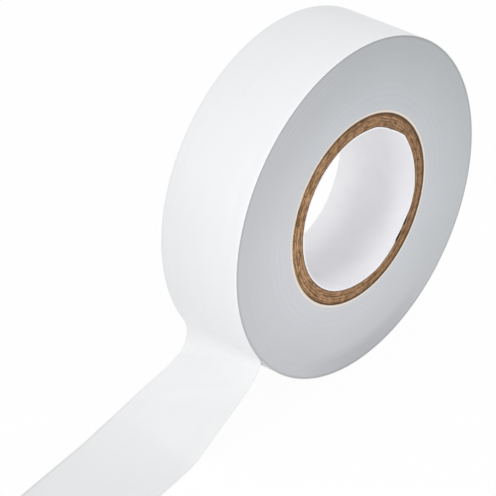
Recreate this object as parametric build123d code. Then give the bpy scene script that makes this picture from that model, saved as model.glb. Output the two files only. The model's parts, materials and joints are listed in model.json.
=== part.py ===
from build123d import *
import os
from math import atan2, ceil, cos, degrees, pi, radians, sin, sqrt

# A roll of electrical tape on a wound paper core, with its free tail peeled off and lying on the bench.
# Millimetres. The origin is the centre of the core. +Y runs along the bore, +Z is up, and the roll
# stands on its rim. The tape winds outwards anticlockwise as seen from -Y, and its tail leaves towards -X.

# ---- the tape ----
tape_width = 19.0
tape_length = 20000.0            # what is wound on a full roll
film_thickness = 0.10            # plasticised vinyl
adhesive_thickness = 0.033       # rubber adhesive on the film's inner side

# ---- the core, from the bore outwards ----
bore_diameter = 33.3
liner_thickness = 0.15           # white paper that lines the bore
ply_thickness = 0.55             # each kraft ply
ply_count = 5
wrap_thickness = 0.2             # pale paper that the first turn sticks to
seam_width = 0.25                # where the two edges of a ply meet
liner_seam_angle = 320.0         # degrees from +X towards +Z
seam_stagger = 137.0             # degrees from one ply's seam to the next

# ---- the tail ----
peel_angle = 217.0               # where the last turn leaves the roll, degrees from +X towards +Z
crease_gap = 0.05                # from the peel axis to the cut end of each layer
flex_gap = 0.15                  # between the two lengths of the tail, where it bends
curl_reach = 21.5                # from the crease out to the second bend
tail_reach = 56.0                # from the crease out to the cut end
landing_reach = 18.5             # from the crease out to where the near edge meets the bench
tail_drift = 0.165               # sideways run of the landed tail for each millimetre outwards
drift_softening = 6.0            # length over which the tail turns into that drift
tail_twist = 11.0                # degrees that the landed tail leans, far edge up
twist_start = 9.0                # reach at which the lean begins

# The near edge's height on its way down, as (share of the landing reach, share of the crease's height)
descent = [
    (0.0, 1.0),
    (0.09, 0.84),
    (0.21, 0.68),
    (0.38, 0.53),
    (0.59, 0.36),
    (0.81, 0.17),
    (0.97, 0.03),
    (1.12, 0.0),
]
section_spacing = 1.5            # between the sections that the tail is built on

# ---- sizes that follow ----
tape_thickness = film_thickness + adhesive_thickness
core_length = tape_width         # the core is cut flush with the tape on both sides
bore_radius = bore_diameter / 2
core_radius = bore_radius + liner_thickness + ply_count * ply_thickness + wrap_thickness
roll_radius = sqrt(core_radius**2 + tape_length * tape_thickness / pi)
bench_z = tape_thickness - roll_radius
crease_x = roll_radius * cos(radians(peel_angle))
crease_z = roll_radius * sin(radians(peel_angle))
crease_height = crease_z - tape_thickness - bench_z
turns = (roll_radius - core_radius) / tape_thickness


# ---- the wound roll ----

def spiral_arcs(depth, cut=0.0):
    """The last turn's curve at a depth below the outer face, from the peel line once round.

    Two half circles make the turn. The second is half a tape thickness larger, and its centre is moved
    by as much towards the peel line, so the turn ends one tape thickness outside its start."""
    shift = tape_thickness / 2
    centre = (shift * cos(radians(peel_angle)), shift * sin(radians(peel_angle)))
    first = CenterArc((0, 0), roll_radius - tape_thickness - depth, peel_angle, 180)
    second = CenterArc(centre, roll_radius - shift - depth, peel_angle + 180, 180 - cut)
    return first, second


def across_tape(profile, width):
    """A profile in X and Z, made as wide as the tape or the core."""
    return extrude(Plane.XZ * profile, width / 2, both=True)


def outer_layer(top, bottom):
    """One layer of the last turn, between two depths below the outer face."""
    cut = degrees(crease_gap / roll_radius)
    top_first, top_second = spiral_arcs(top, cut)
    low_first, low_second = spiral_arcs(bottom, cut)
    start = Line(top_first @ 0, low_first @ 0)
    end = Line(top_second @ 1, low_second @ 1)
    return across_tape(make_face([top_first, top_second, end, low_second, low_first, start]), tape_width)


def wound_turns():
    """Every turn under the last one, bonded to each other by their own adhesive."""
    first, second = spiral_arcs(tape_thickness)
    step = Line(second @ 1, first @ 0)
    turns_face = make_face([first, second, step]) - Circle(core_radius)
    return across_tape(turns_face, tape_width)


# ---- the core ----

def paper_ply(inner_radius, thickness, seam_angle):
    """One ply of the core: a strip of paper bent into a tube, whose edges meet at a seam."""
    outer_radius = inner_radius + thickness
    seam_cut = Pos(inner_radius + thickness / 2, 0) * Rectangle(2 * thickness, seam_width)
    ring = Circle(outer_radius) - Circle(inner_radius) - Rot(0, 0, seam_angle) * seam_cut
    return across_tape(ring, core_length)


# ---- the tail ----

def near_edge_height(reach):
    """The near edge's height over the bench: a cubic through the descent's points, level once it has landed."""
    share = reach / landing_reach
    if share >= descent[-1][0]:
        return 0.0
    slopes = [(after[1] - before[1]) / (after[0] - before[0]) for before, after in zip(descent, descent[1:])]
    at_points = [slopes[0], *[(a + b) / 2 for a, b in zip(slopes, slopes[1:])], 0.0]
    span = max(n for n in range(len(slopes)) if descent[n][0] <= share)
    (x0, y0), (x1, y1) = descent[span], descent[span + 1]
    t = (share - x0) / (x1 - x0)
    rise = y0 * (1 + 2 * t) * (1 - t) ** 2 + y1 * t * t * (3 - 2 * t)
    turn = (x1 - x0) * (at_points[span] * t * (1 - t) ** 2 - at_points[span + 1] * t * t * (1 - t))
    return (rise + turn) * crease_height


def eased(value):
    """Rises smoothly from 0 to 1 as the value does."""
    value = min(max(value, 0.0), 1.0)
    return value * value * (3 - 2 * value)


def tail_frame(reach):
    """The near edge's place on the tail's top face, and the direction across the tape, at a reach."""
    past = reach - landing_reach + drift_softening
    turned = min(max(past / (2 * drift_softening), 0.0), 1.0)
    slope = tail_drift * turned
    drift = slope * (past if turned < 1 else 2 * (past - drift_softening)) / 2
    lean = radians(tail_twist) * eased((reach - twist_start) / (landing_reach - twist_start))
    yaw = atan2(slope, 1.0)
    across = Vector(-sin(yaw) * cos(lean), cos(yaw) * cos(lean), sin(lean))
    height = bench_z + tape_thickness + near_edge_height(reach)
    return Vector(crease_x - reach, -tape_width / 2 - drift, height), across


def tail_upright(reach):
    """The direction through the tape at a reach, out of its top face."""
    nudge = 0.01
    ahead, across = tail_frame(reach + nudge)
    behind, _ = tail_frame(max(reach - nudge, 0.0))
    return across.cross(ahead - behind).normalized()


def tail_section(reach, top, bottom):
    """The tape's section at a reach, between two depths below its top face."""
    near, across = tail_frame(reach)
    far = near + across * tape_width
    upright = tail_upright(reach)
    corners = [near - upright * top, far - upright * top, far - upright * bottom, near - upright * bottom]
    return make_face(Polyline(*corners, close=True))


def tail_layer(start, end, top, bottom):
    """One layer of a length of tail, ruled from section to section so that the layers meet face to face."""
    steps = ceil((end - start) / section_spacing)
    reaches = [start + (end - start) * n / steps for n in range(steps + 1)]
    return loft([tail_section(reach, top, bottom) for reach in reaches], ruled=True)


layers = {"film": (0.0, film_thickness), "adhesive": (film_thickness, tape_thickness)}
lengths = {
    "tail_root": (crease_gap, curl_reach - flex_gap / 2),
    "tail_end": (curl_reach + flex_gap / 2, tail_reach),
}

core_layers = {"core_liner": liner_thickness}
core_layers |= {f"core_ply_{ply}": ply_thickness for ply in range(1, ply_count + 1)}
core_layers["core_wrap"] = wrap_thickness

parts = {}
inside = bore_radius
for place, (ply, thickness) in enumerate(core_layers.items()):
    parts[ply] = paper_ply(inside, thickness, liner_seam_angle + place * seam_stagger)
    inside += thickness
parts["wound_turns"] = wound_turns()
for layer, (top, bottom) in layers.items():
    parts[f"outer_turn_{layer}"] = outer_layer(top, bottom)
    for length, (start, end) in lengths.items():
        parts[f"{length}_{layer}"] = tail_layer(start, end, top, bottom)

os.makedirs("parts", exist_ok=True)
for name, shape in parts.items():
    export_step(shape, f"parts/{name}.step")

bend, bend_across = tail_frame(curl_reach)
bend_centre = bend + bend_across * (tape_width / 2) - tail_upright(curl_reach) * (tape_thickness / 2)
print(f"roll radius {roll_radius:.3f}, core radius {core_radius:.3f}, turns {turns:.1f}, bench z {bench_z:.3f}")
print(f"peel axis at x {crease_x:.4f}, z {crease_z:.4f}")
print(f"second bend at {bend_centre}, axis {bend_across}")
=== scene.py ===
# %% [markdown]
# # A roll of white electrical tape
# The real thing is twenty metres of thin vinyl tape wound on a short paper tube. It stands on its rim,
# and its free end has been peeled off and lies on the bench. This lesson dresses the CAD model of that
# roll: each piece is modelled where the CAD says it is, and then gets a finish of its own.
#
# Everything is in metres. The bore runs along Y, Z is up, and the near side of the roll faces -Y.

import bpy
import json
from math import asin, atan2, cos, degrees, hypot, pi, radians, sin, sqrt
from mathutils import Matrix, Vector


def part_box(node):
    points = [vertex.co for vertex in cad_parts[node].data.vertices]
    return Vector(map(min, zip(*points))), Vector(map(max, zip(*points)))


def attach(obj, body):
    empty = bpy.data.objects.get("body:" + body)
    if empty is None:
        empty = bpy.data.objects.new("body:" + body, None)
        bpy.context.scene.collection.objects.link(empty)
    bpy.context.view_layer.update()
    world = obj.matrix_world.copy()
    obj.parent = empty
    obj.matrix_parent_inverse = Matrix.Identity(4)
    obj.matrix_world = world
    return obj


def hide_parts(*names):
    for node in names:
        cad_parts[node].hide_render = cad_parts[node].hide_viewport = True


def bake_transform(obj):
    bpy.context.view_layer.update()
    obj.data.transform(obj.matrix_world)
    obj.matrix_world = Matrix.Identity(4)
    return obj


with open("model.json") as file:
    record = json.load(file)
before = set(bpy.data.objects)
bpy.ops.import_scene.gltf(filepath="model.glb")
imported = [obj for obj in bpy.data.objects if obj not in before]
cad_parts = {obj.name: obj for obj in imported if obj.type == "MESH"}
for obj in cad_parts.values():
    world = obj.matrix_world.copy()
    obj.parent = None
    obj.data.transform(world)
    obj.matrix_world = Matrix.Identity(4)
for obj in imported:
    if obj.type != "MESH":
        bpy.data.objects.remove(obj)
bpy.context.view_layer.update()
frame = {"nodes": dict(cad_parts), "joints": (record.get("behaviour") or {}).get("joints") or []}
mm = 0.001
print("CAD nodes:", ", ".join(sorted(frame["nodes"])))

# %% [markdown]
# ## Sizes
# The tape leaves the roll at a hinge whose place is on the outside of the last turn, so that one point
# gives both the roll's radius and the angle at which the tape peels off. The other sizes are the CAD
# nodes' own boxes, and the two thicknesses are those of ordinary vinyl tape.

# %% Sizes from the frame
joints = {joint["name"]: joint for joint in frame["joints"]}
crease = Vector(joints["tail_peel"]["pos_m"])
roll_radius = hypot(crease.x, crease.z)
peel = atan2(crease.z, crease.x) % (2 * pi)
film, glue = 0.10 * mm, 0.033 * mm
tape = film + glue
half_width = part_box("wound_turns")[1].y
width = 2 * half_width
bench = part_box("tail_end_adhesive")[0].z
print(f"roll radius {roll_radius / mm:.2f} mm, peel at {degrees(peel):.1f} degrees, bench at {bench / mm:.2f} mm")

# %% [markdown]
# ## Helpers
# An operator acts on what is selected, so each piece starts with everything else deselected. The
# other helpers give a point its radius and angle round the bore, and let a value rise or fade softly.

# %% Helpers for modelling
def start_clean():
    """Object mode with nothing selected, as each new piece starts."""
    if bpy.context.object and bpy.context.object.mode != "OBJECT":
        bpy.ops.object.mode_set(mode="OBJECT")
    bpy.ops.object.select_all(action="DESELECT")


def choose(piece):
    """Object mode with one piece selected and active."""
    start_clean()
    bpy.context.view_layer.objects.active = piece
    piece.select_set(True)


def edit(piece):
    """Edit mode on one piece, with nothing in its mesh selected."""
    choose(piece)
    bpy.ops.object.mode_set(mode="EDIT")
    bpy.ops.mesh.select_all(action="DESELECT")


def pick_edges(piece, test):
    """Selects the edges whose middle passes the test, and stays in edit mode."""
    bpy.ops.mesh.select_mode(type="EDGE")
    bpy.ops.mesh.select_all(action="DESELECT")
    bpy.ops.object.mode_set(mode="OBJECT")
    for edge in piece.data.edges:
        start, end = (piece.data.vertices[v].co for v in edge.vertices)
        edge.select = test((start + end) / 2)
    bpy.ops.object.mode_set(mode="EDIT")


def apply_all(piece):
    """Applies every modifier, in order."""
    choose(piece)
    for modifier in list(piece.modifiers):
        bpy.ops.object.modifier_apply(modifier=modifier.name)


# %% Helpers for places and soft changes
def polar(point):
    """Radius from the bore's axis, and the angle from +X towards +Z, of a point."""
    return hypot(point.x, point.z), atan2(point.z, point.x) % (2 * pi)


def around(radius, angle, y):
    """The point at a radius and an angle round the bore."""
    return Vector((radius * cos(angle), y, radius * sin(angle)))


def eased(value):
    """Rises smoothly from 0 to 1 as the value does."""
    value = min(max(value, 0.0), 1.0)
    return value * value * (3 - 2 * value)


def fading(distance):
    """Falls from 1 at no distance to 0 far away."""
    return 2.718 ** -distance


# %% [markdown]
# ## The core: rings spun from a section
# A tape core is paper strips bent into tubes, one inside the next. Each could be a cylinder with a
# hole in it, but then its ends would be dead flat. Here each ply's section is drawn as a plane, its
# corners are rounded, its ends are divided, and the outline is spun round the bore. The divided ends
# can then be roughened, which is what cut paper looks like. Five kraft plies are made so, and the thin
# pale paper wrapped round them.

# %% Spinning a ring
same_place, near_middle = 0.0001 * mm, 0.01 * mm


def ring(name, inner, outer, steps, end_cuts, side_cuts=0, rounding=0.0, seam=None, gap=0.0):
    """A closed ring round the bore. With a seam it is open there by the gap, and its two edges are filled."""
    middle = (inner + outer) / 2
    start_clean()
    bpy.ops.mesh.primitive_plane_add(size=1, location=(middle, 0, 0))
    piece = bpy.context.object
    piece.name = piece.data.name = name
    edit(piece)
    bpy.ops.mesh.select_all(action="SELECT")
    bpy.ops.transform.resize(value=(outer - inner, width, 1))
    bpy.ops.object.mode_set(mode="OBJECT")
    bpy.ops.object.transform_apply(location=True, rotation=True, scale=True)
    edit(piece)
    if rounding:
        bpy.ops.mesh.select_all(action="SELECT")
        bpy.ops.mesh.bevel(offset=rounding, segments=2, affect="VERTICES")
    bpy.ops.mesh.select_mode(type="FACE")
    bpy.ops.mesh.select_all(action="SELECT")
    bpy.ops.mesh.delete(type="ONLY_FACE")
    pick_edges(piece, lambda p: abs(abs(p.y) - half_width) < same_place and abs(p.x - middle) < near_middle)
    bpy.ops.mesh.subdivide(number_cuts=end_cuts)
    if side_cuts:
        pick_edges(piece, lambda p: abs(p.y) < same_place and abs(p.x - middle) > near_middle)
        bpy.ops.mesh.subdivide(number_cuts=side_cuts)
    bpy.ops.mesh.select_mode(type="VERT")
    bpy.ops.mesh.select_all(action="SELECT")
    opening = gap / middle if seam is not None else 0.0
    bpy.ops.mesh.spin(steps=steps, angle=2 * pi - opening, center=(0, 0, 0), axis=(0, -1, 0))
    bpy.ops.mesh.select_all(action="SELECT")
    bpy.ops.mesh.remove_doubles(threshold=same_place)
    if seam is not None:
        bpy.ops.mesh.select_all(action="SELECT")
        bpy.ops.mesh.fill_holes(sides=0)
    bpy.ops.mesh.select_all(action="SELECT")
    bpy.ops.mesh.normals_make_consistent(inside=False)
    bpy.ops.object.mode_set(mode="OBJECT")
    if seam is not None:
        piece.data.transform(Matrix.Rotation(-(seam + opening / 2), 4, "Y"))
    return piece


# %% Roughening its cut ends
def ends_group(piece, depth=0.02 * mm):
    """A vertex group that holds the two cut ends of a ring."""
    group = piece.vertex_groups.new(name="cut_ends")
    ends = [v.index for v in piece.data.vertices if abs(abs(v.co.y) - half_width) < depth]
    group.add(ends, 1.0, "REPLACE")
    return group.name


def roughen(piece, group, size, height):
    """Moves a vertex group along the bore by a fine cloud pattern, and applies it."""
    cloud = bpy.data.textures.new(f"{piece.name}_roughness", "CLOUDS")
    cloud.noise_scale = size
    cloud.noise_depth = 2
    modifier = piece.modifiers.new("roughness", "DISPLACE")
    modifier.texture = cloud
    modifier.texture_coords = "LOCAL"
    modifier.direction = "Y"
    modifier.strength = height
    modifier.mid_level = 0.5
    modifier.vertex_group = group
    apply_all(piece)


# %% [markdown]
# ## The bore's near mouth
# A paper core is soft, and this one has been handled: its near mouth is bruised into short flats, is
# a little out of round, and has a small torn tongue in its inner ply. The liner and the inner ply
# share that shape, so it is written once here, and each of them is moved by it.

# %% How the mouth is bruised and torn
# Each dent is its angle and its spread in degrees, and its push in millimetres.
dents = [(40, 7, 0.42), (75, 7, 0.20), (57, 6, -0.20), (292, 9, 0.20), (352, 10, 0.24)]
oval, oval_towards, inset = 0.13, radians(330), 0.14
tongue_height, tongue_at, tongue_reach, tongue_slope = 0.30 * mm, 323.8, 3.2, 1.7


def into_mouth(y, start, rise):
    """0 at a share of the way out to the near mouth, and 1 when it is the rise further on."""
    return (-y / half_width - start) / rise


def bulge(angle, y):
    """How far the bore's wall is pushed outwards near its near mouth, in short flats with corners between."""
    pushed = sum(push * fading(abs((degrees(angle) - place + 180) % 360 - 180) / spread)
                 for place, spread, push in dents)
    depth = max(0.0, into_mouth(y, 0.80, 0.20))
    return (pushed - inset + oval * cos(angle - oval_towards)) * mm * depth**1.5


def tongue(angle, y):
    """How far a torn tongue of the inner ply stands into the bore, at its near mouth only."""
    inside = tongue_reach - abs(degrees(angle) - tongue_at)
    return tongue_height * eased(inside / tongue_slope) * eased(into_mouth(y, 0.70, 0.30))


print(f"{len(dents)} dents, the largest {max(push for place, spread, push in dents)} mm")

# %% The kraft plies
def outer_of(node):
    """A ring's outer radius, from its CAD node."""
    low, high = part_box(node)
    return max(-low.x, high.x, -low.z, high.z)


lap, seam_step, seam_gap = radians(320), radians(137), 0.25 * mm
set_back = {1: 0.02 * mm, 2: 0.09 * mm, 3: 0.0, 4: 0.07 * mm, 5: 0.13 * mm}
plies = {}
for number in range(1, 6):
    node = f"core_ply_{number}"
    inside = outer_of("core_liner" if number == 1 else f"core_ply_{number - 1}")
    outside = outer_of(node)
    ply = ring(f"kraft_ply_{number}", inside, outside, steps=320, end_cuts=4, side_cuts=24 if number == 1 else 0,
               rounding=0.07 * mm, seam=lap + number * seam_step, gap=seam_gap)
    roughen(ply, ends_group(ply, 0.08 * mm), 0.35 * mm, 0.10 * mm)
    for vertex in ply.data.vertices:
        radius, angle = polar(vertex.co)
        y = vertex.co.y * (1 - set_back[number] / half_width)
        if number == 1:
            radius += (bulge(angle, y) - tongue(angle, y)) * (outside - radius) / (outside - inside)
        vertex.co = around(radius, angle, y)
    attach(ply, "roll")
    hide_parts(node)
    plies[number] = ply
print(f"{len(plies)} kraft plies out to {outer_of('core_ply_5') / mm:.2f} mm")

# %% The wrap
wrap = ring("pale_wrap", outer_of("core_ply_5"), outer_of("core_wrap"), steps=320, end_cuts=2,
            rounding=0.03 * mm, seam=lap + 6 * seam_step, gap=seam_gap)
roughen(wrap, ends_group(wrap), 0.6 * mm, 0.05 * mm)
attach(wrap, "roll")
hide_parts("core_wrap")
print(f"pale wrap out to {outer_of('core_wrap') / mm:.2f} mm, {len(wrap.data.vertices)} vertices")

# %% [markdown]
# ## The liner
# The bore is lined with white paper. Its strip laps over itself, so it has one small step that runs
# along the bore, and beside the lap its edge has lifted off the kraft and left a narrow slit. Its near
# edge was pressed in as it was cut, which leaves a thin burr. A ring is spun as before, and then its
# vertices are moved out and in by those few small amounts.

# %% The liner's ring
liner_outer = outer_of("core_liner")
bore_radius = liner_outer - 0.15 * mm
liner = ring("bore_liner", bore_radius, liner_outer, steps=360, end_cuts=3, side_cuts=24, rounding=0.02 * mm)
print(f"liner from {bore_radius / mm:.2f} to {liner_outer / mm:.2f} mm, {len(liner.data.vertices)} vertices")

# %% Its lap, its lifted edge, its burr and its uneven cut
# Runs round the bore are in degrees.
step_height, step_run = 0.05 * mm, 60
lift_height, lift_before_lap, lift_run, lift_rise, lift_fall = 0.38 * mm, 8, 28, 3, 12
burr_height, wave_height = 0.11 * mm, 0.04 * mm
for vertex in liner.data.vertices:
    radius, angle = polar(vertex.co)
    y = vertex.co.y
    outer_share = (radius - bore_radius) / (liner_outer - bore_radius)
    past_lap = degrees(angle - lap) % 360
    step = step_height * (1 - eased(past_lap / step_run))
    burr = burr_height * eased(into_mouth(y, 0.93, 0.07))
    into_lift = (past_lap + lift_before_lap) % 360
    lifted = eased(into_lift / lift_rise) * eased((lift_run - into_lift) / lift_fall)
    lift = lift_height * lifted * eased(into_mouth(y, 0.70, 0.30))
    radius += bulge(angle, y) - (step + burr) * (1 - outer_share) - lift
    y += wave_height * sin(7 * angle + 1) * (abs(y) / half_width) ** 8 * (1 if y < 0 else -1)
    vertex.co = around(radius, angle, y)
roughen(liner, ends_group(liner, 0.05 * mm), 0.8 * mm, 0.03 * mm)
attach(liner, "roll")
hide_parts("core_liner")
print(f"a step of {step_height / mm:.2f} mm, lifted by {lift_height / mm:.2f} mm, a burr of {burr_height / mm:.2f} mm")

# %% [markdown]
# ## The wound turns
# About 115 turns lie under the last one. From the side they are a ring of fine edges, and the winding
# machine's tension changes a little from turn to turn, so bands of turns stand a few hundredths of a
# millimetre proud or back. The bands are modelled in the section before it is spun. The single turns
# are too fine for a mesh, so they are left to the material.

# %% The section's bands
core_radius = outer_of("core_wrap")
wound_radius = roll_radius - tape
band_height, sway_height = 0.012 * mm, 0.02 * mm


def band_depth(radius):
    """How far back from the flush face the turns at a radius lie, with a soft corner at each end."""
    from_core, from_rim = (radius - core_radius) / mm, (wound_radius - radius) / mm
    wave = 0.5 + 0.22 * sin(1.9 * from_core + 0.6) + 0.16 * sin(4.3 * from_core + 2.0) + 0.12 * sin(9.7 * from_core)
    corners = 4.0 * fading((from_core / 0.10) ** 2) + 4.0 * fading((from_rim / 0.08) ** 2)
    return band_height * (wave + corners)


turns = ring("wound_turns", core_radius, wound_radius, steps=240, end_cuts=110)
for vertex in turns.data.vertices:
    radius, angle = polar(vertex.co)
    side = 1 if vertex.co.y > 0 else -1
    share = (radius - core_radius) / (wound_radius - core_radius)
    sway = sway_height * sin(2 * angle + side) * share
    y = side * (half_width - band_depth(radius) - abs(sway))
    grown = ((angle - peel) % (2 * pi)) / (2 * pi)
    inward = tape * (1 - grown)
    vertex.co = around(radius - inward * share, angle, y)
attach(turns, "roll")
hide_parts("wound_turns")
print(f"wound turns: {len(turns.data.polygons)} faces")

# %% [markdown]
# ## The tape itself
# The last turn and the free tail are one strip of tape: film outside, and a thin layer of rubber
# adhesive inside. The strip is laid out flat as a grid, like tape on a bench, and each row of it is
# then carried to its place by its near edge and its far edge. The film gets its thickness from a
# Solidify modifier, and the adhesive is a second, thinner strip under it.

# %% Where the last turn runs
def rim_point(angle, y):
    """A point on the last turn, whose second half circle is half a tape thickness larger and shifted."""
    if (angle - peel) % (2 * pi) < pi:
        return around(roll_radius - tape, angle, y)
    shift, radius = tape / 2, roll_radius - tape / 2
    offset = angle - peel
    reach = shift * cos(offset) + sqrt(radius**2 - (shift * sin(offset)) ** 2)
    return around(reach, angle, y)


# A row is the tape's near edge, its far edge, and how far along the tape it is from the peel line.
adhered, turn_steps = radians(205), 232
turn_rows = []
for n in range(turn_steps + 1):
    angle = peel + (adhered + 2 * pi - peel) * n / turn_steps
    near, far = rim_point(angle % (2 * pi), -half_width), rim_point(angle % (2 * pi), half_width)
    turn_rows.append((near, far, (angle - 2 * pi - peel) * roll_radius))
print(f"the last turn runs from {degrees(peel):.0f} degrees once round to {degrees(adhered):.0f} degrees")

# %% [markdown]
# ## How the tail comes down
# The tail's shape repeats the CAD's: its near edge drops to the bench in a soft curve, and then the
# strip drifts sideways and leans, so its far edge stays a few millimetres off the bench. Film can't
# fold sharply, so here it leaves the roll in a rounded bend. The bend is tight at the near edge and
# wide at the far one, which lets go of the roll a little sooner.

# %% The near edge, as the CAD has it
# Each pair is a share of the way to the landing, and the share of the crease's height left there.
descent = [(0.0, 1.0), (0.09, 0.84), (0.21, 0.68), (0.38, 0.53), (0.59, 0.36),
           (0.81, 0.18), (0.92, 0.095), (1.03, 0.036), (1.16, 0.010), (1.32, 0.0)]
landing = 18.5 * mm
crease_height = crease.z - tape - bench


def curve(t, start, leaving, goal, arriving):
    """The place at t, from 0 to 1, on a curve that leaves the start and arrives at the goal with given slopes."""
    return (start * ((1 + 2 * t) * (1 - t) ** 2) + leaving * (t * (1 - t) ** 2)
            + goal * (t * t * (3 - 2 * t)) - arriving * (t * t * (1 - t)))


def near_height(reach):
    """The near edge's height over the bench."""
    share = reach / landing
    if share >= descent[-1][0]:
        return 0.0
    slopes = [(b[1] - a[1]) / (b[0] - a[0]) for a, b in zip(descent, descent[1:])]
    tangents = [slopes[0], *[(a + b) / 2 for a, b in zip(slopes, slopes[1:])], 0.0]
    span = max(n for n in range(len(slopes)) if descent[n][0] <= share)
    (x0, y0), (x1, y1) = descent[span], descent[span + 1]
    run = x1 - x0
    return curve((share - x0) / run, y0, run * tangents[span], y1, run * tangents[span + 1]) * crease_height


print(f"the near edge drops {crease_height / mm:.1f} mm and lands {landing / mm:.1f} mm from the crease")

# %% The far edge, and the strip between the two
drift_rate, softening = 0.165, 6.0 * mm
tail_length, curl_reach = 56.0 * mm, 21.5 * mm
far_rest, far_rise, far_settles, far_run = 3.35, 3.75, 30 * mm, 22 * mm


def far_height(reach):
    """The far edge's height over the bench, which falls more slowly and never quite reaches it."""
    return (far_rest + far_rise * (max(far_settles - reach, 0.0) / far_run) ** 1.7) * mm


def tail_edges(reach):
    """The near and far edges of the tail's top face at a reach from the crease."""
    past = reach - landing + softening
    turned = min(max(past / (2 * softening), 0.0), 1.0)
    slope = drift_rate * turned
    drift = slope * (past if turned < 1 else 2 * (past - softening)) / 2
    lean = asin((far_height(reach) - near_height(reach)) / width)
    yaw = atan2(slope, 1.0)
    across = Vector((-sin(yaw) * cos(lean), cos(yaw) * cos(lean), sin(lean)))
    near = Vector((crease.x - reach, -half_width - drift, bench + tape + near_height(reach)))
    return near, near + across * width


print(f"the far edge stays {far_rest:.2f} mm up, and the tail ends {tail_length / mm:.0f} mm from the crease")

# %% [markdown]
# Each edge is a run of points: down the roll to where the film lets go, round an arc that touches the
# roll from outside, and on along the tail. Both edges get the same number of points for each part, so
# a row always joins matching points.

# %% The two edges of the bend
rim_steps, arc_steps, join_steps, end_steps = 10, 16, 24, 46
end_pace = 14 * mm      # how fast the joining rows go by as they reach the second hinge


def bend_edge(side, bend_radius, bend_angle, let_go, settled):
    """One edge's points, off the rim, round the bend, and on to the second hinge.

    The film bends freely at first, and has the tail's own shape from where it is settled."""
    y = (-half_width, half_width)[side]
    points = [rim_point(adhered + (let_go - adhered) * n / rim_steps, y) for n in range(rim_steps)]
    centre = around(roll_radius + bend_radius, let_go, y)
    for n in range(arc_steps + 1):
        points.append(centre + around(bend_radius, let_go + pi - bend_angle * n / arc_steps, 0.0))
    leave = points[-1]
    heading = (leave - points[-2]).normalized()
    join = tail_edges(settled)[side]
    ahead = (tail_edges(settled + 0.1 * mm)[side] - join).normalized()
    gap = (join - leave).length
    for n in range(1, join_steps + 1):
        points.append(curve(n / join_steps, leave, heading * gap, join, ahead * gap))
    for n in range(1, join_steps + 1):
        gone = curve(n / join_steps, 0.0, gap, curl_reach - settled, end_pace)
        points.append(tail_edges(settled + gone)[side])
    return points


near_edge = bend_edge(0, bend_radius=1.4 * mm, bend_angle=radians(62), let_go=radians(215.2), settled=3.0 * mm)
far_edge = bend_edge(1, bend_radius=5.0 * mm, bend_angle=radians(102), let_go=radians(213.2), settled=14.0 * mm)
root_rows, along = [], (adhered - peel) * roll_radius
for n, (near, far) in enumerate(zip(near_edge, far_edge)):
    if n:
        along += ((near - near_edge[n - 1]).length + (far - far_edge[n - 1]).length) / 2
    root_rows.append((near, far, along))
end_rows = []
for n in range(end_steps + 1):
    past_curl = (tail_length - curl_reach) * n / end_steps
    end_rows.append((*tail_edges(curl_reach + past_curl), along + past_curl))
print(f"tail: {len(root_rows)} rows to the second hinge and {len(end_rows)} beyond it")

# %% Laying a strip
def strip(name, rows, depth, thickness, across=14):
    """A strip of film or adhesive whose top face lies at a depth under the rows."""
    start_clean()
    last_row = len(rows) - 1
    bpy.ops.mesh.primitive_grid_add(x_subdivisions=last_row, y_subdivisions=across, size=1, location=(0, 0, 0))
    piece = bpy.context.object
    piece.name = piece.data.name = name
    mesh = piece.data
    places = []
    for vertex in mesh.vertices:
        near, far, along = rows[round((vertex.co.x + 0.5) * last_row)]
        share = vertex.co.y + 0.5
        places.append((along / width, share))
        vertex.co = near.lerp(far, share)
    layout = mesh.uv_layers.active
    layout.name = "along_tape"
    for loop in mesh.loops:
        layout.data[loop.index].uv = places[loop.vertex_index]
    edit(piece)
    bpy.ops.mesh.select_all(action="SELECT")
    bpy.ops.mesh.flip_normals()
    if depth:
        bpy.ops.transform.shrink_fatten(value=-depth, use_even_offset=True)
    bpy.ops.object.mode_set(mode="OBJECT")
    solid = piece.modifiers.new("thickness", "SOLIDIFY")
    solid.thickness = thickness
    solid.offset = -1
    solid.use_even_offset = True
    apply_all(piece)
    bpy.ops.object.shade_smooth_by_angle(angle=radians(40))
    return piece


# %% The last turn
turn_film = strip("last_turn_film", turn_rows, 0.0, film, across=6)
turn_glue = strip("last_turn_adhesive", turn_rows, film, glue, across=6)
for piece, node in ((turn_film, "outer_turn_film"), (turn_glue, "outer_turn_adhesive")):
    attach(piece, "roll")
    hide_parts(node)
print(f"last turn: {(turn_rows[-1][2] - turn_rows[0][2]) / mm:.0f} mm of tape")

# %% [markdown]
# ## The free tail
# The CAD's tail bends at two hinges, and film crosses both. Here it is laid as two strips: its root runs
# from the last turn round the bend to the second hinge, and its end runs on from there.

# %% The tail's root and its end
root_film = strip("tail_root_film_strip", root_rows, 0.0, film)
root_glue = strip("tail_root_adhesive_strip", root_rows, film, glue)
for piece, node in ((root_film, "tail_root_film"), (root_glue, "tail_root_adhesive")):
    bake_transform(piece)
    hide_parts(node)
end_film = strip("tail_end_film_strip", end_rows, 0.0, film)
end_glue = strip("tail_end_adhesive_strip", end_rows, film, glue)
bend_axis = Vector(joints["tail_curl"]["axis"])
outwards = (tail_edges(curl_reach + 1 * mm)[0] - tail_edges(curl_reach)[0]).normalized()
outwards = (outwards - bend_axis * outwards.dot(bend_axis)).normalized()
for piece, node in ((end_film, "tail_end_film"), (end_glue, "tail_end_adhesive")):
    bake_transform(piece)
    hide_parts(node)
print(f"free tail: {end_rows[-1][2] / mm:.0f} mm of tape past the peel line")

# %% Smooth the rings
rings = (*plies.values(), wrap, liner, turns)
for piece in rings:
    choose(piece)
    bpy.ops.object.shade_smooth_by_angle(angle=radians(50))
print(f"{len(rings)} rings shaded smooth")

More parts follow.
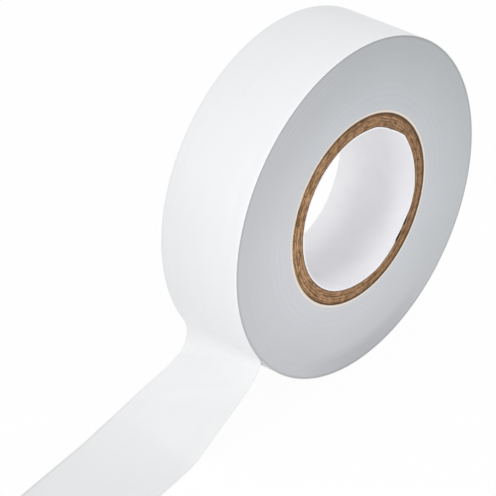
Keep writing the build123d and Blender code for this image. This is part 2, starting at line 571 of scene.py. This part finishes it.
# %% [markdown]
# ## Finishes
# Every finish is built from nodes. Patterns that run round the roll need the distance from the bore's
# axis and the direction round it, so a small group works those out once, and the paper finishes share
# a second group that makes fibres out of them.

# %% Helpers for nodes
def new_group(name, inputs, outputs):
    """An empty shader node group. Inputs are (name, kind, default) and outputs are (name, kind)."""
    group = bpy.data.node_groups.new(name, "ShaderNodeTree")
    for label, kind, default in inputs:
        socket = group.interface.new_socket(name=label, in_out="INPUT", socket_type=kind)
        if default is not None:
            socket.default_value = default
    for label, kind in outputs:
        group.interface.new_socket(name=label, in_out="OUTPUT", socket_type=kind)
    return group, group.nodes.new("NodeGroupInput"), group.nodes.new("NodeGroupOutput")


def give(tree, socket, value):
    """Gives an input socket a value, or a link from another socket."""
    if isinstance(value, bpy.types.NodeSocket):
        tree.links.new(value, socket)
    else:
        socket.default_value = value


def node(tree, kind, inputs=None, **settings):
    """A node with its settings, and each input given a value or a socket to link from."""
    made = tree.nodes.new(kind)
    for key, value in settings.items():
        setattr(made, key, value)
    for key, value in (inputs or {}).items():
        give(tree, made.inputs[key], value)
    return made


def new_material(name):
    """A material with its Principled shader, and nothing else."""
    material = bpy.data.materials.new(name)
    material.use_nodes = True
    return material, material.node_tree, material.node_tree.nodes["Principled BSDF"]


def finish(pieces, material):
    """Gives the pieces one material."""
    for piece in pieces:
        piece.data.materials.clear()
        piece.data.materials.append(material)
    print(f"{material.name} on {', '.join(piece.name for piece in pieces)}")


# %% Helpers for numbers in nodes
def maths(tree, operation, a, b=0.0):
    """The result of one Math node."""
    return node(tree, "ShaderNodeMath", {0: a, 1: b}, operation=operation).outputs[0]


def product(tree, first, *others):
    """The values multiplied together."""
    for value in others:
        first = maths(tree, "MULTIPLY", first, value)
    return first


def total(tree, *values):
    """The values added together, where values in brackets are multiplied first."""
    first, *others = [product(tree, *value) if isinstance(value, tuple) else value for value in values]
    for value in others:
        first = maths(tree, "ADD", first, value)
    return first


def ranged(tree, value, low, high, to_low=0.0, to_high=1.0, **settings):
    """A value carried from one range to another, and held at its ends."""
    ends = {"From Min": low, "From Max": high, "To Min": to_low, "To Max": to_high}
    return node(tree, "ShaderNodeMapRange", {"Value": value, **ends}, **settings).outputs["Result"]


# %% Helpers for colours and patterns in nodes
def mixed(tree, factor, a, b, blend="MIX"):
    """The colour between two colours."""
    made = node(tree, "ShaderNodeMix", data_type="RGBA", blend_type=blend)
    for index, value in ((0, factor), (6, a), (7, b)):
        give(tree, made.inputs[index], value)
    return made.outputs[2]


def scaled(tree, vector, factor):
    """A colour or a direction times a number."""
    return node(tree, "ShaderNodeVectorMath", {0: vector, "Scale": factor}, operation="SCALE").outputs[0]


def noise(tree, scale, detail, dimensions="3D", **places):
    """A cloudy pattern over a Vector, or along a number W where it has one dimension."""
    inputs = {**places, "Scale": scale, "Detail": detail}
    return node(tree, "ShaderNodeTexNoise", inputs, noise_dimensions=dimensions).outputs["Fac"]


def bumped(tree, shader, height, distance, strength=1.0):
    """Gives a shader's surface a fine relief."""
    relief = node(tree, "ShaderNodeBump", {"Height": height, "Distance": distance, "Strength": strength})
    tree.links.new(relief.outputs["Normal"], shader.inputs["Normal"])


# %% Round the bore
round_bore, entry, result = new_group(
    "round_the_bore",
    [("Place", "NodeSocketVector", None)],
    [("Radius", "NodeSocketFloat"), ("Turn", "NodeSocketFloat"), ("Across", "NodeSocketFloat"),
     ("Direction", "NodeSocketVector")],
)
x, y, z = node(round_bore, "ShaderNodeSeparateXYZ", {0: entry.outputs["Place"]}).outputs
radius = maths(round_bore, "SQRT", total(round_bore, (x, x), (z, z)))
turn = maths(round_bore, "DIVIDE", maths(round_bore, "ARCTAN2", z, x), 2 * pi)
flat = node(round_bore, "ShaderNodeCombineXYZ", {0: x, 1: z, 2: 0.0}).outputs[0]
direction = node(round_bore, "ShaderNodeVectorMath", {0: flat}, operation="NORMALIZE").outputs[0]
for label, socket in (("Radius", radius), ("Turn", turn), ("Across", y), ("Direction", direction)):
    round_bore.links.new(socket, result.inputs[label])
print(f"{round_bore.name}: {len(round_bore.nodes)} nodes")


def round_roll(tree):
    """A place on the roll, the outputs of round_the_bore there, and how far right and how far up it lies."""
    place = node(tree, "ShaderNodeTexCoord").outputs["Object"]
    bore = node(tree, "ShaderNodeGroup", {"Place": place}, node_tree=round_bore).outputs
    right, up, _ = node(tree, "ShaderNodeSeparateXYZ", {0: bore["Direction"]}).outputs
    return place, bore, right, up


# %% Paper fibres
fibres, entry, result = new_group(
    "paper_fibres",
    [("Place", "NodeSocketVector", None), ("Length", "NodeSocketFloat", 1.2), ("Thickness", "NodeSocketFloat", 0.12)],
    [("Fibre", "NodeSocketFloat"), ("Cloud", "NodeSocketFloat"), ("Speck", "NodeSocketFloat")],
)
# A fibre's length and thickness are in millimetres, and its length is true at the core's mean radius.
core_middle, metre = 18.0, 1000.0
place = entry.outputs["Place"]
bore = node(fibres, "ShaderNodeGroup", {"Place": place}, node_tree=round_bore).outputs
round_scale = maths(fibres, "DIVIDE", core_middle, entry.outputs["Length"])
fine_scale = maths(fibres, "DIVIDE", metre, entry.outputs["Thickness"])
swept = node(fibres, "ShaderNodeSeparateXYZ", {0: scaled(fibres, bore["Direction"], round_scale)}).outputs
fibre_place = node(fibres, "ShaderNodeCombineXYZ", {
    0: swept[0], 1: swept[1], 2: product(fibres, bore["Radius"], fine_scale)}).outputs[0]
across = product(fibres, bore["Across"], fine_scale)
streak = noise(fibres, 1.0, 4.0, "4D", Vector=fibre_place, W=across, Roughness=0.65)
cloud = noise(fibres, 900.0, 3.0, Vector=place)
speck = ranged(fibres, noise(fibres, 3200.0, 2.0, Vector=place), 0.62, 0.74)
for label, socket in (("Fibre", streak), ("Cloud", cloud), ("Speck", speck)):
    fibres.links.new(socket, result.inputs[label])
print(f"{fibres.name}: {len(fibres.nodes)} nodes")

# %% [markdown]
# ## The core's papers
# A knife leaves the end of a paper tube fibrous: pale and dark strands run round it, the glue between
# two plies shows as a broken dark line, and there are specks. Kraft board and the cream wrap differ
# only in their colours and in how coarse the fibres are, so one function makes them all, and it paints
# each of them darker towards the right as painted shade. A line of its own tone marks where one paper
# meets the next; at the core's outer edge that line is partly glue and partly painted shade of the groove
# between the core and the tape.

# %% A toned line round an edge
def outlined(tree, colour, radius, right, up, line):
    """Tones a colour from one radius to another, in a line that is thinner at the left and thicker at the top."""
    start, end, strength, tone = line
    thinning = (0.12 if end > start else -0.12) * mm
    thinner = ranged(tree, right, -0.97, -0.65, thinning, 0.0)
    thicker = ranged(tree, up, 0.4, 0.95, 0.0, 0.75 * thinning)
    reach = total(tree, maths(tree, "SUBTRACT", radius, thinner), thicker)
    return mixed(tree, ranged(tree, reach, start, end, 0.0, strength), colour, tone)


# %% Cut paper
kraft_radius = outer_of("core_ply_5")
ply_thickness = (kraft_radius - liner_outer) / 5


def paper(name, dark, light, length, thickness, contrast, relief, line=None):
    """A cut paper edge: fibres between two colours, painted shade towards the right, dark lines where plies meet,
    specks, and a toned line.

    A line is the radius it starts at, the radius of its full strength, that strength, and its tone."""
    material, tree, shader = new_material(name)
    place, bore, right, up = round_roll(tree)
    sizes = {"Place": place, "Length": length, "Thickness": thickness}
    pattern = node(tree, "ShaderNodeGroup", sizes, node_tree=fibres).outputs
    gap_tone = tuple(0.5 * part for part in dark[:3]) + (1,)
    strands = total(tree, (pattern["Fibre"], 0.75), (pattern["Cloud"], 0.25))
    colour = mixed(tree, ranged(tree, strands, 0.5 - contrast, 0.5 + contrast), dark, light)
    # Painted shade: every paper is painted darker towards the right, away from the lamps at the left.
    colour = mixed(tree, ranged(tree, right, -1.0, 1.0, 0.0, 0.38), colour, dark)
    grain = noise(tree, 6500.0, 2.0, Vector=place)
    colour = scaled(tree, colour, ranged(tree, grain, 0.35, 0.65, 0.82, 1.18))
    depth = maths(tree, "SUBTRACT", bore["Radius"], liner_outer)
    in_ply = maths(tree, "FRACT", maths(tree, "DIVIDE", depth, ply_thickness))
    joint = ranged(tree, maths(tree, "ABSOLUTE", maths(tree, "SUBTRACT", in_ply, 0.5)), 0.33, 0.47)
    broken = ranged(tree, pattern["Cloud"], 0.40, 0.60, 0.62, 0.22)
    colour = mixed(tree, product(tree, joint, broken), colour, gap_tone)
    colour = mixed(tree, product(tree, pattern["Speck"], 0.5), colour, gap_tone)
    if line:
        colour = outlined(tree, colour, bore["Radius"], right, up, line)
    tree.links.new(colour, shader.inputs["Base Color"])
    shader.inputs["Roughness"].default_value = 0.9
    shader.inputs["Specular IOR Level"].default_value = 0.25
    bumped(tree, shader, strands, relief)
    return material


# %% Kraft and cream
# The outer kraft's edge and the wrap's inner edge are darkened partly by glue and partly by painted shade of the groove
# between the core and the tape.
dark_kraft, light_kraft, glue_and_shade_tone = (0.115, 0.055, 0.021, 1), (0.69, 0.41, 0.22, 1), (0.085, 0.043, 0.020, 1)
kraft = paper("kraft_board", dark_kraft, light_kraft, length=1.5, thickness=0.13, contrast=0.115, relief=0.05 * mm,
              line=(liner_outer + 0.40 * mm, liner_outer + 0.12 * mm, 0.35, (0.10, 0.075, 0.055, 1)))
edge_kraft = paper("outer_kraft", dark_kraft, (0.58, 0.33, 0.165, 1),
                   length=1.6, thickness=0.13, contrast=0.115, relief=0.05 * mm,
                   line=(kraft_radius - 0.42 * mm, kraft_radius - 0.18 * mm, 0.8, glue_and_shade_tone))
cream = paper("cream_wrap", (0.70, 0.60, 0.47, 1), (0.90, 0.83, 0.73, 1),
              length=2.0, thickness=0.10, contrast=0.2, relief=0.02 * mm,
              line=(kraft_radius + 0.12 * mm, kraft_radius + 0.04 * mm, 0.8, glue_and_shade_tone))
finish([plies[n] for n in (1, 2, 3, 4)], kraft)
finish([plies[5]], edge_kraft)
finish([wrap], cream)

# %% [markdown]
# Behind the liner the kraft is painted nearly black, as painted shade in the narrow gap, and it shows wherever
# the liner has lifted: as two thin dark strokes at the lip, with the torn tongue, left unshaded, between them.

# %% Painted shade on the wall behind the liner
# Painted shade: the wall behind the liner and two slits at its lip are painted nearly black.
shadowed = paper("slit_shade_kraft", (0.012, 0.007, 0.004, 1), (0.05, 0.030, 0.018, 1),
              length=0.8, thickness=0.11, contrast=0.13, relief=0.05 * mm)
slits = ((314.0, 321.2), (326.4, 331.5))      # degrees round the bore
slit_depth, unshaded_height = 0.15 * mm, 0.1 * mm
inner_ply = plies[1]
inner_ply.data.materials.append(shadowed)
for face in inner_ply.data.polygons:
    radius, angle = polar(face.center)
    y = face.center.y
    facing = face.normal.dot(around(1.0, angle, 0.0))
    on_tongue = tongue(angle, y) > unshaded_height and y < -0.9 * half_width
    on_wall = facing < -0.6 and abs(face.normal.y) < 0.6 and not on_tongue
    at_slit = y < -0.95 * half_width and any(start < degrees(angle) < end for start, end in slits)
    in_slit = at_slit and radius < liner_outer + bulge(angle, y) + slit_depth
    face.material_index = 1 if on_wall or in_slit else 0
print(sum(face.material_index for face in inner_ply.data.polygons), "faces of the inner ply are glued")

# %% [markdown]
# ## The liner's finish
# The liner is smooth white paper. Plain white would look like plastic, so it gets a faint mottle and a
# fine weave. As painted shade it is greyer in the middle of the bore, and it is darker in its lower half.
# As painted light its ends are paler, the near one most of all.

# %% The white liner
white_paper, tree, shader = new_material("white_liner")
place, bore, right, up = round_roll(tree)
# Painted light and shade: the ends are painted paler, the near one most, and the middle of the bore greyer.
near_side = ranged(tree, bore["Across"], half_width, -half_width)
lit_end_tone = mixed(tree, near_side, (0.885, 0.88, 0.89, 1), (0.972, 0.967, 0.985, 1))
shaded_middle_tone = mixed(tree, ranged(tree, up, -0.5, 0.45), (0.775, 0.765, 0.79, 1), (0.89, 0.882, 0.90, 1))
from_middle = maths(tree, "DIVIDE", maths(tree, "ABSOLUTE", bore["Across"]), half_width)
towards_lit_ends = ranged(tree, from_middle, 0.1, 0.92, interpolation_type="SMOOTHSTEP")
colour = mixed(tree, towards_lit_ends, shaded_middle_tone, lit_end_tone)
mottle = noise(tree, 250.0, 3.0, Vector=place)
weave = noise(tree, 4500.0, 2.0, Vector=place)
toned = scaled(tree, colour, ranged(tree, mottle, 0.3, 0.7, 0.965, 1.0))
tree.links.new(toned, shader.inputs["Base Color"])
shader.inputs["Roughness"].default_value = 0.6
bumped(tree, shader, total(tree, (weave, 0.3), mottle), 0.02 * mm, 0.6)
finish([liner], white_paper)

# %% [markdown]
# ## The wound edge
# Each turn shows as a ring 0.13 mm wide, too fine to model 115 times. The rings are worked out from
# the radius instead: a count of turns that grows by one each time round gives every turn a tone of its
# own and a thin line to the next. Broad bands, a light haze and pale arcs lie over them, and the first
# turns by the core are cream. Painted light makes the flank lighter towards the lower left, and painted
# shade darkens its top and its bottom, where the roll stands.

# %% The rings
wound, tree, shader = new_material("wound_tape_edge")
place, bore, right, up = round_roll(tree)
inwards = maths(tree, "DIVIDE", maths(tree, "SUBTRACT", roll_radius, bore["Radius"]), tape)
count = total(tree, inwards, bore["Turn"])
between = ranged(tree, maths(tree, "FRACT", count), 0.70, 0.95)
each = node(tree, "ShaderNodeTexWhiteNoise", {"W": maths(tree, "FLOOR", count)}, noise_dimensions="1D").outputs["Value"]
band = noise(tree, 1.0, 4.0, "1D", W=product(tree, count, 0.16))
haze = noise(tree, 90.0, 3.0, Vector=place)
print(f"{(wound_radius - core_radius) / tape:.0f} turns under the last one")

# %% The marks, and the painted light and shade, on them
share = ranged(tree, bore["Radius"], core_radius, roll_radius)
# Painted light: the flank is painted lighter towards the lower left, and its tint follows the same painted light.
lit_lower_left = total(tree, (right, -0.80), (up, -0.60))
outer_third = ranged(tree, share, 0.66, 0.80)
# Pale arcs round the upper left, in the outer third of the turns.
pale_arcs = ranged(tree, noise(tree, 1.0, 2.0, "1D", W=product(tree, bore["Radius"], 3500.0)), 0.53, 0.62)
upper_left = ranged(tree, total(tree, (right, -0.57), (up, 0.82)), 0.82, 0.97)
# Painted shade: darker at the bottom, where the roll stands, and at the top, most at the outside.
contact_shade = ranged(tree, total(tree, (right, 0.09), (up, -1.0)), 0.85, 1.0)
top_shade = ranged(tree, total(tree, (right, 0.14), (up, 0.99)), -0.05, 0.95)
last_turns = ranged(tree, bore["Radius"], wound_radius - 0.65 * mm, wound_radius - 0.2 * mm, 0.0, -0.20)
level = total(
    tree, (each, 0.03), (band, 0.05), (haze, 0.06), (between, -0.05), (lit_lower_left, 0.05), 0.935,
    (pale_arcs, upper_left, outer_third, 0.18), (contact_shade, outer_third, -0.14),
    (top_shade, total(tree, (share, -0.12), -0.03)), last_turns)

# %% Its colour and relief
grey = mixed(tree, share, (0.615, 0.628, 0.645, 1), (0.535, 0.543, 0.553, 1))
lit_side_tint = mixed(tree, ranged(tree, lit_lower_left, -1.0, 1.0), (0.985, 1.0, 1.005, 1), (1.005, 0.995, 1.01, 1))
toned = scaled(tree, mixed(tree, 1.0, grey, lit_side_tint, "MULTIPLY"), level)
first_turns = ranged(tree, bore["Radius"], core_radius + 0.27 * mm, core_radius + 0.44 * mm, 0.68, 0.0)
colour = mixed(tree, first_turns, toned, (0.95, 0.81, 0.67, 1))
tree.links.new(colour, shader.inputs["Base Color"])
shader.inputs["Roughness"].default_value = 0.5
bumped(tree, shader, total(tree, band, (each, 0.3)), 0.01 * mm, 0.5)
finish([turns], wound)

# %% [markdown]
# ## The film
# Vinyl film is a satin white with a very faint grain, drawn out along the tape. One flat white would
# look like card, and a pattern in space would slide off the bends, so it is laid over the strip by the
# strip's own map: along the tape 0 is the peel line and 1 is one tape width past it, and across
# it 0 is the near edge and 1 is the far one. So its tones can follow the tape, and most of them are
# painted light and shade: painted light on the tail from where it leaves the roll, painted shade where
# it lies, towards its end, at the top of the roll and towards the far edge of the last turn, a far edge
# darkened partly by dust and partly by painted shade, and a painted highlight along the near edge of
# the last turn.

# %% The film's tones along the tape, with painted light and shade
vinyl, tree, shader = new_material("white_vinyl")
place = node(tree, "ShaderNodeUVMap", uv_map="along_tape").outputs["UV"]
along, over, _ = node(tree, "ShaderNodeSeparateXYZ", {0: place}).outputs
# Painted shade: the last turn is painted darker towards its far edge, and more so low on the rim's left.
on_roll = ranged(tree, along, -0.6, 0.4, 0.06, 0.0)
lower = ranged(tree, along, -2.9, -1.6, 0.0, 0.026)
let_go = ranged(tree, along, -0.4, 0.1, 1.0, 0.0)
# Painted light: the tail is painted paler from where it leaves the roll.
lit_tail = ranged(tree, along, -0.05, 0.2, 0.0, 0.045)
# Painted shade: the tail is painted greyer where it lies and towards its end, and the top of the roll darker.
landed = ranged(tree, along, 0.45, 0.85, 0.0, 0.075)
to_end = ranged(tree, along, 0.8, 2.6, 0.0, 0.065)
top_of_roll = ranged(tree, along, -4.2, -5.0, 0.0, 0.05)
# The far edge is darkened partly by dust and partly by painted shade, and a painted highlight runs along the near edge
# of the last turn.
far_dirt_and_shade = ranged(tree, along, 0.3, 2.4, 0.035, 0.10)
far_line = ranged(tree, over, 1 - 0.65 * mm / width, 1 - 0.25 * mm / width)
near_highlight = ranged(tree, over, 0.5 * mm / width, 0.15 * mm / width)
darker = total(tree, (on_roll, over), (lower, let_go, over), total(tree, landed, to_end), top_of_roll,
               (far_line, far_dirt_and_shade))
paler = total(tree, (near_highlight, let_go, 0.075), lit_tail)

# %% Its cut edges, its colour and its gloss
cut_from = 0.4998      # tape widths from the middle
from_centre = maths(tree, "ABSOLUTE", maths(tree, "SUBTRACT", over, 0.5))
on_cut = maths(tree, "GREATER_THAN", from_centre, cut_from)
level = total(tree, maths(tree, "SUBTRACT", 1.0, darker), paler)
level = maths(tree, "SUBTRACT", level, product(tree, on_cut, 0.22))
drawn_out = node(tree, "ShaderNodeMapping", {"Vector": place, "Scale": (1.2, 9.0, 1.0)}).outputs[0]
colour = mixed(tree, noise(tree, 1.0, 4.0, Vector=drawn_out), (0.862, 0.866, 0.872, 1), (0.894, 0.897, 0.902, 1))
warmth = mixed(tree, ranged(tree, along, -0.15, 0.1), (1.0, 1.0, 1.0, 1), (1.005, 1.0, 0.992, 1))
colour = scaled(tree, mixed(tree, 1.0, colour, warmth, "MULTIPLY"), level)
grain = noise(tree, 90.0, 2.0, Vector=place)
soft = noise(tree, 1.5, 2.0, Vector=place)
tree.links.new(colour, shader.inputs["Base Color"])
tree.links.new(ranged(tree, soft, 0.0, 1.0, 0.36, 0.50), shader.inputs["Roughness"])
bumped(tree, shader, total(tree, (grain, 0.15), soft), 0.02 * mm)
finish([turn_film, root_film, end_film], vinyl)

# %% [markdown]
# ## The adhesive
# The rubber side is shinier and a little yellower than the film. Peeling draws it into fine ridges
# across the tape, so its noise is squeezed hard along the tape and only a little across it.

# %% The adhesive's ridges
rubber, tree, shader = new_material("rubber_adhesive")
place = node(tree, "ShaderNodeUVMap", uv_map="along_tape").outputs["UV"]
squeezed = node(tree, "ShaderNodeMapping", {"Vector": place, "Scale": (40.0, 6.0, 1.0)}).outputs[0]
ridges = noise(tree, 1.0, 5.0, Vector=squeezed)
colour = mixed(tree, ridges, (0.66, 0.655, 0.63, 1), (0.76, 0.755, 0.73, 1))
tree.links.new(colour, shader.inputs["Base Color"])
shader.inputs["Roughness"].default_value = 0.28
bumped(tree, shader, ridges, 0.02 * mm)
finish([turn_glue, root_glue, end_glue], rubber)

# %% [markdown]
# ## The studio
# The roll stands on a white table in front of white. The floor takes the object's shadow, but to the
# camera it is white elsewhere, which the Light Path node does without any extra light on the roll.
# Five soft lamps and a pale sky light the roll from all sides, so that the rim is bright, the flank is
# calm and the shadow stays faint.

# %% Floor
def looked_at(tree):
    """1 for what is looked at, straight, in a reflection or through glass, and 0 for light on its way elsewhere."""
    path = node(tree, "ShaderNodeLightPath").outputs
    return maths(tree, "MAXIMUM", path["Is Camera Ray"],
                 maths(tree, "MAXIMUM", path["Is Glossy Ray"], path["Is Transmission Ray"]))


start_clean()
bpy.ops.mesh.primitive_plane_add(size=4.0, location=(0, 0, bench - 0.02 * mm))
floor = bpy.context.object
floor.name = "white_table"
table, tree, shader = new_material("white_table_top")
shader.inputs["Base Color"].default_value = (0.95, 0.95, 0.95, 1)
shader.inputs["Roughness"].default_value = 0.9
shader.inputs["Specular IOR Level"].default_value = 0.0
white = node(tree, "ShaderNodeEmission", {"Color": (1, 1, 1, 1), "Strength": 1.0})
partly = node(tree, "ShaderNodeMixShader", {
    0: product(tree, looked_at(tree), 0.955), 1: shader.outputs[0], 2: white.outputs[0]})
tree.links.new(partly.outputs[0], tree.nodes["Material Output"].inputs["Surface"])
floor.data.materials.append(table)
print(f"{floor.name} at {floor.location.z / mm:.2f} mm")

# %% World
world = bpy.data.worlds.new("studio")
bpy.context.scene.world = world
world.use_nodes = True
tree = world.node_tree
tree.nodes.clear()
air = node(tree, "ShaderNodeBackground", {"Color": (0.97, 0.98, 1.0, 1), "Strength": 0.63})
white = node(tree, "ShaderNodeBackground", {"Color": (1, 1, 1, 1), "Strength": 1.0})
both = node(tree, "ShaderNodeMixShader", {0: looked_at(tree), 1: air.outputs[0], 2: white.outputs[0]})
node(tree, "ShaderNodeOutputWorld", {"Surface": both.outputs[0]})
print(f"{world.name}: the air gives {air.inputs['Strength'].default_value:.2f} of white")

# %% Lamps
# Each lamp has its place and size in metres and its power in watts.
lamps = {
    "overhead": ((0, 0, 0.9), 0.8, 1.6),
    "front": ((-0.35, -0.85, 0.45), 0.6, 1.9),
    "right": ((0.7, -0.6, 0.3), 0.6, 0.75),
    "low_left": ((-0.9, 0.1, 0.15), 0.6, 1.5),
    "back_left": ((-0.45, 0.75, 0.25), 0.6, 1.0),
}
for name, (place, size, power) in lamps.items():
    start_clean()
    bpy.ops.object.light_add(type="AREA", location=place)
    lamp = bpy.context.object
    lamp.name = name
    lamp.data.shape = "SQUARE"
    lamp.data.size = size
    lamp.data.energy = power
    lamp.rotation_mode = "QUATERNION"
    lamp.rotation_quaternion = (-Vector(place)).to_track_quat("-Z", "Y")
print("lamps:", ", ".join(lamps))

# %% [markdown]
# ## The camera
# It looks down at the roll from the front left through a long lens, about 0.47 m away, so that the
# flank, the rim, the bore and the tail all show, and the roll keeps nearly parallel sides.

# %% Camera
position = Vector((-309.3, -260.7, 232.0)) * mm
forward = Vector((0.6343, 0.5744, -0.5174)).normalized()
lens = bpy.data.cameras.new("studio_camera")
camera = bpy.data.objects.new("studio_camera", lens)
bpy.context.scene.collection.objects.link(camera)
camera.location = position
camera.rotation_mode = "QUATERNION"
camera.rotation_quaternion = forward.to_track_quat("-Z", "Y")
lens.lens, lens.sensor_width = 174.2, 36.0
lens.shift_x, lens.shift_y = -0.0004, 0.0003
lens.clip_start, lens.clip_end = 0.01, 10.0
bpy.context.scene.camera = camera
bpy.context.scene.view_settings.view_transform = "Standard"
print(f"camera {position.length / mm:.0f} mm from the bore's centre, with a lens of {lens.lens:.0f} mm")
